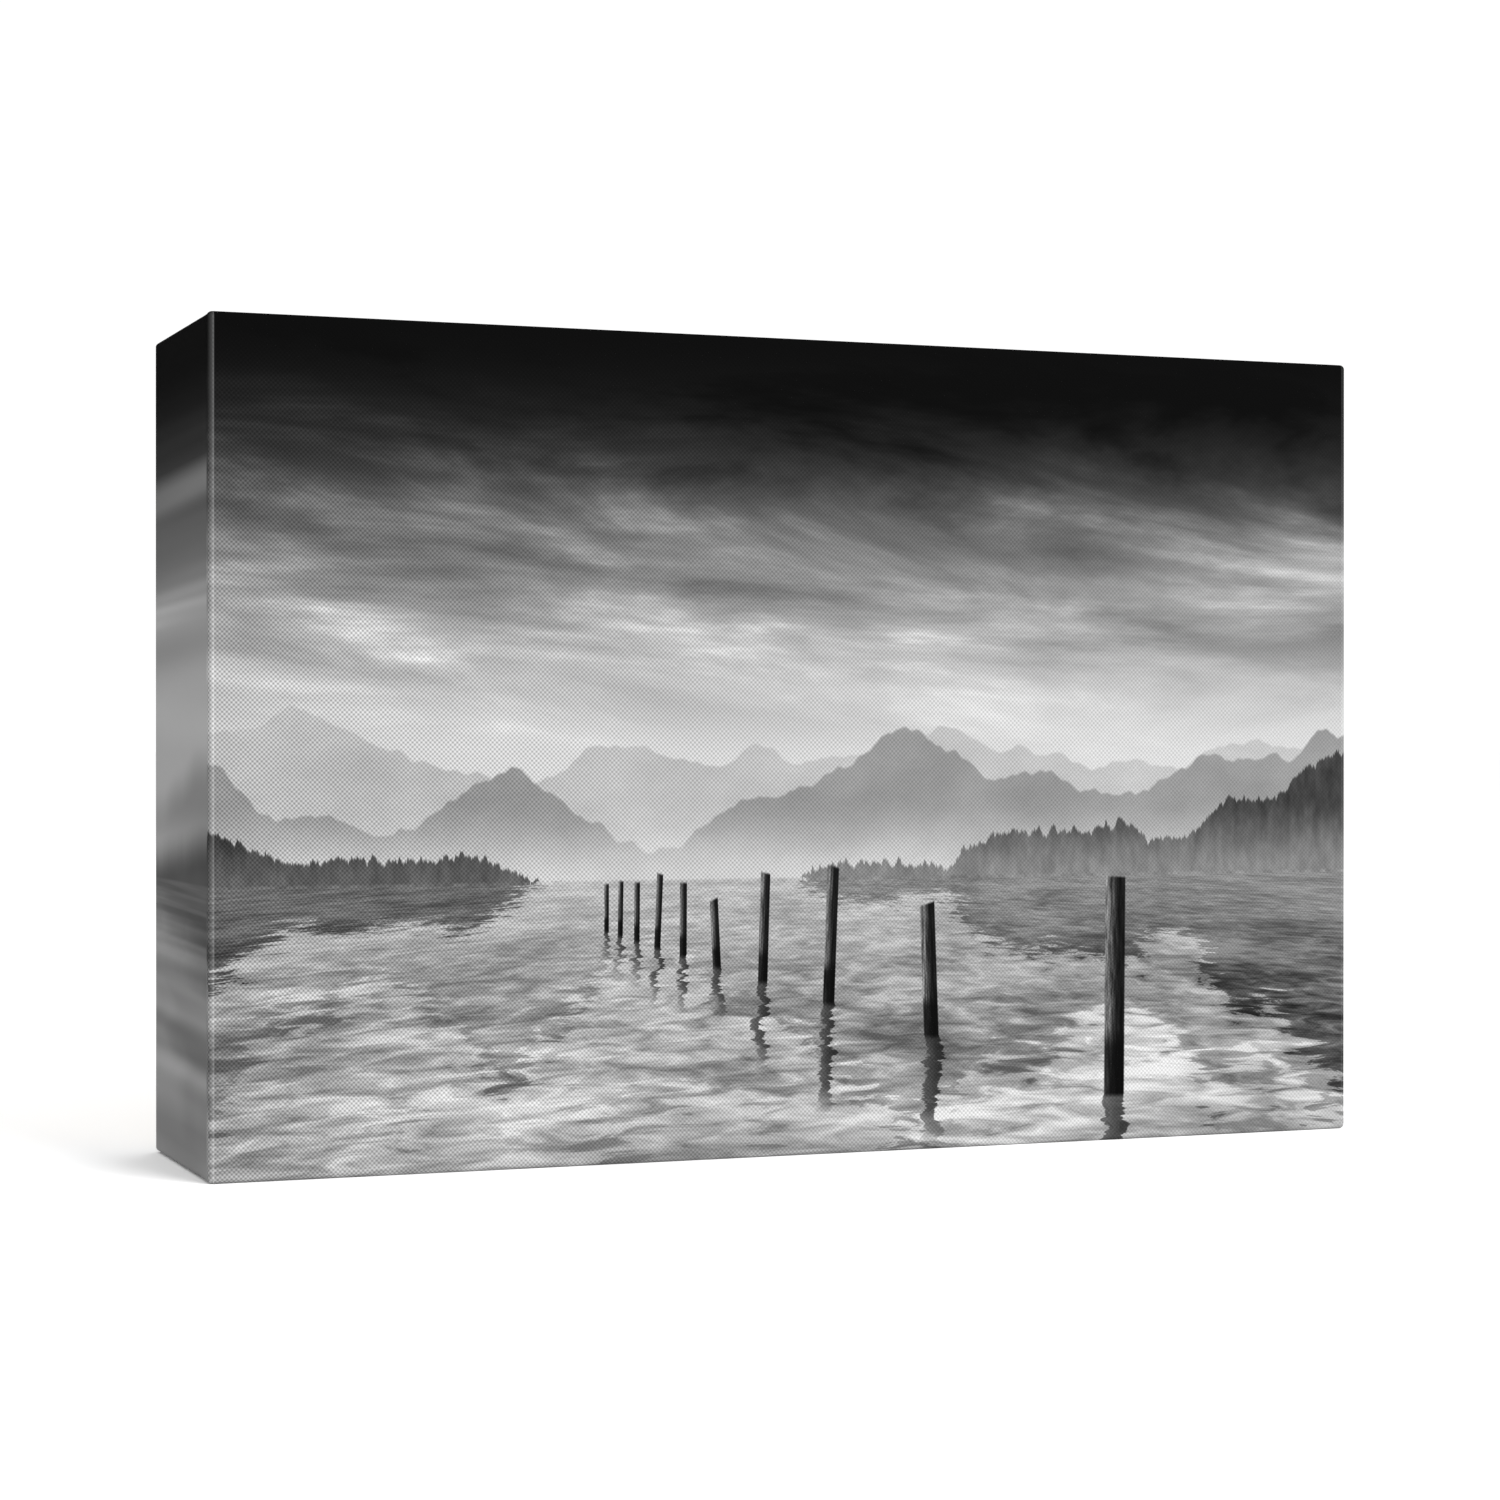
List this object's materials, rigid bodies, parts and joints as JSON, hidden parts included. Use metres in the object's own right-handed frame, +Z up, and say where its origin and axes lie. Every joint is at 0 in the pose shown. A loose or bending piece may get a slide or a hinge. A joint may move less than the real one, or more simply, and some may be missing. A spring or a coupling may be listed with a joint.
{
  "type": "stretched canvas print",
  "caption": "Gallery-wrapped canvas picture on a keyed pine stretcher frame, with folding D-ring hangers to hang it on a wall or stand it on a shelf.",
  "frame": {"origin": "under the middle of the whole print's box, at its foot", "axes": "+X along the width, +Y from the printed face to the back, +Z up"},
  "size_m": [0.3048, 0.0702, 0.2032],
  "materials": {
    "canvas": "woven cotton and polyester canvas, printed in grey tones with a satin coat, raw on the inside",
    "pine": "planed kiln-dried pine, unvarnished",
    "beech": "sawn beech",
    "galvanised_wire": "flattened galvanised wire",
    "plated_steel": "nickel-plated steel, tumbled",
    "rubber": "matt black moulded rubber"
  },
  "bodies": {
    "print": {"canvas": "canvas", "stretcher_top": "pine", "stretcher_bottom": "pine", "stretcher_left": "pine", "stretcher_right": "pine", "key_top_left": "beech", "key_top_right": "beech", "key_bottom_left": "beech", "key_bottom_right": "beech", "key_left_top": "beech", "key_left_bottom": "beech", "key_right_top": "beech", "key_right_bottom": "beech", "staple_top_1": "galvanised_wire", "staple_top_2": "galvanised_wire", "staple_top_3": "galvanised_wire", "staple_top_4": "galvanised_wire", "staple_top_5": "galvanised_wire", "staple_top_6": "galvanised_wire", "staple_bottom_1": "galvanised_wire", "staple_bottom_2": "galvanised_wire", "staple_bottom_3": "galvanised_wire", "staple_bottom_4": "galvanised_wire", "staple_bottom_5": "galvanised_wire", "staple_bottom_6": "galvanised_wire", "staple_left_1": "galvanised_wire", "staple_left_2": "galvanised_wire", "staple_left_3": "galvanised_wire", "staple_left_4": "galvanised_wire", "staple_right_1": "galvanised_wire", "staple_right_2": "galvanised_wire", "staple_right_3": "galvanised_wire", "staple_right_4": "galvanised_wire", "strap_left": "plated_steel", "strap_right": "plated_steel", "screw_left": "plated_steel", "screw_right": "plated_steel", "bumper_left": "rubber", "bumper_right": "rubber"},
    "ring_left": {"ring_left": "plated_steel"},
    "ring_right": {"ring_right": "plated_steel"}
  },
  "joints": [
    {"name": "ring_left_swing", "type": "hinge", "parent": "print", "child": "ring_left", "pos_m": [-0.138, 0.0328, 0.159], "axis": [1, 0, 0], "range_deg": [0, 176]},
    {"name": "ring_right_swing", "type": "hinge", "parent": "print", "child": "ring_right", "pos_m": [0.138, 0.0328, 0.159], "axis": [1, 0, 0], "range_deg": [0, 176]}
  ]
}
